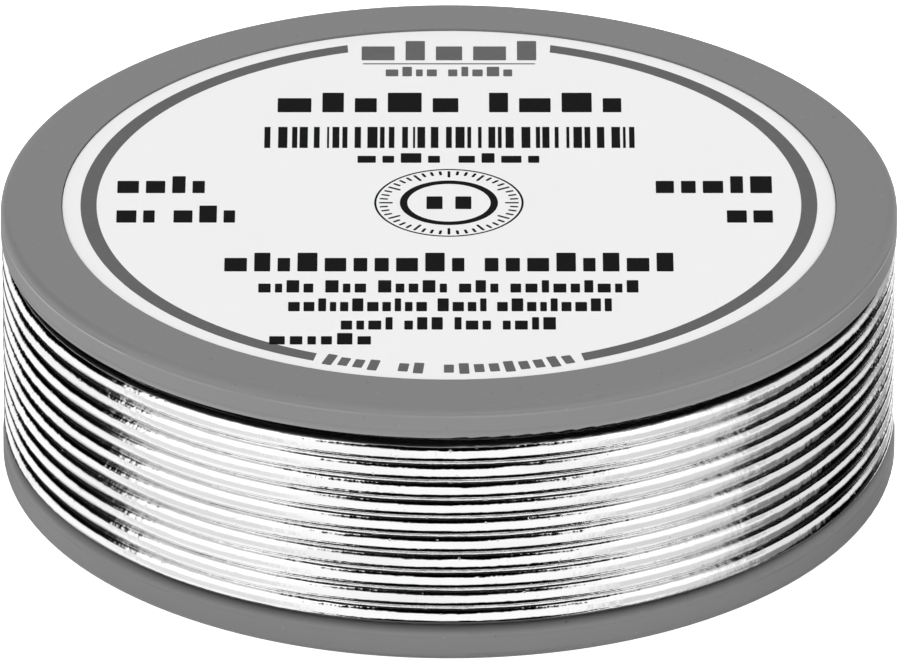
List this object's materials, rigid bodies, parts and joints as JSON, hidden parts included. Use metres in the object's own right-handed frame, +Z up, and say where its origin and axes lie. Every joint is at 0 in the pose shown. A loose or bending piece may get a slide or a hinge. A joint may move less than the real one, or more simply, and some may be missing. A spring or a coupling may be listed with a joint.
{
  "type": "solder wire reel",
  "caption": "Low round reel of bright solder wire, wound between two flanges of a pegged two-part moulded spool, with a round paper label in its top face.",
  "frame": {"origin": "centre of the reel's base face, on its axis", "axes": "+Z up the reel's axis towards the label; -Y is the front, where the print on the label reads upright"},
  "size_m": [0.084, 0.084, 0.0264],
  "materials": {
    "reel_plastic": "satin moulded",
    "solder_wire": "bright drawn",
    "label_paper": "smooth coated"
  },
  "bodies": {
    "root": {"lower_reel_half": "reel_plastic", "upper_reel_half": "reel_plastic", "wire_inner_layer": "solder_wire", "wire_outer_layer": "solder_wire", "wire_start_tail": "solder_wire", "paper_label": "label_paper"}
  },
  "joints": []
}
